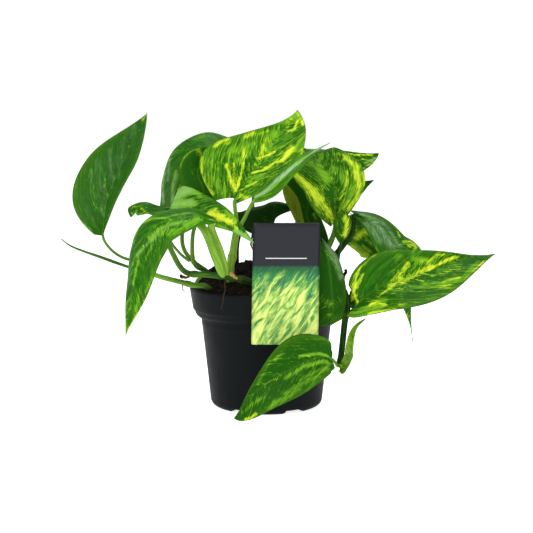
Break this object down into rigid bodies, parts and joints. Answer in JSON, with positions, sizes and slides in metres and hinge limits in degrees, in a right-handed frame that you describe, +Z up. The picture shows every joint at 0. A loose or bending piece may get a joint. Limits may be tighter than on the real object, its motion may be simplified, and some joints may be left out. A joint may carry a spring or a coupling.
{
  "type": "potted trailing plant",
  "caption": "Young trailing vine with heart-shaped yellow-flecked leaves in a round nursery pot with a plant label",
  "frame": {"origin": "centre of the pot's underside, on the surface that it stands on", "axes": "+Z up, -Y towards the label side that faces the viewer, +X to the viewer's right"},
  "size_m": [0.3242, 0.1978, 0.2302],
  "materials": {
    "pot_black": "matt black moulded polypropylene",
    "soil_brown": "damp crumbly potting mix, no sheen",
    "label_sheet": "printed plastic card, satin",
    "stem_green": "smooth living stem, light olive green",
    "leaf_green": "waxy living leaf, green with yellow flecks"
  },
  "bodies": {
    "root": {"pot": "pot_black", "soil": "soil_brown", "plant_label": "label_sheet", "vine_front": "stem_green", "vine_left": "stem_green", "vine_centre": "stem_green", "vine_back_left": "stem_green", "vine_back": "stem_green", "vine_right": "stem_green", "vine_trailing": "stem_green", "leaf_far_left": "leaf_green", "leaf_back_left": "leaf_green", "leaf_inner_left": "leaf_green", "leaf_top_centre": "leaf_green", "leaf_edge_on": "leaf_green", "leaf_front_left": "leaf_green", "leaf_front_small": "leaf_green", "leaf_left_behind": "leaf_green", "leaf_right_upright": "leaf_green", "leaf_right_back": "leaf_green", "leaf_right_far": "leaf_green", "leaf_right_arching": "leaf_green", "leaf_right_lower": "leaf_green", "leaf_right_small": "leaf_green", "leaf_big_right": "leaf_green", "leaf_by_label": "leaf_green", "leaf_curled": "leaf_green", "leaf_front_low": "leaf_green", "leaf_back_centre": "leaf_green", "leaf_olive": "leaf_green", "leaf_dark_centre": "leaf_green", "leaf_rear_upright": "leaf_green", "leaf_rear_right": "leaf_green", "leaf_rear_left": "leaf_green", "leaf_rear_low": "leaf_green", "leaf_rear_top": "leaf_green", "leaf_rear_side": "leaf_green", "leaf_spear": "leaf_green"}
  },
  "joints": []
}
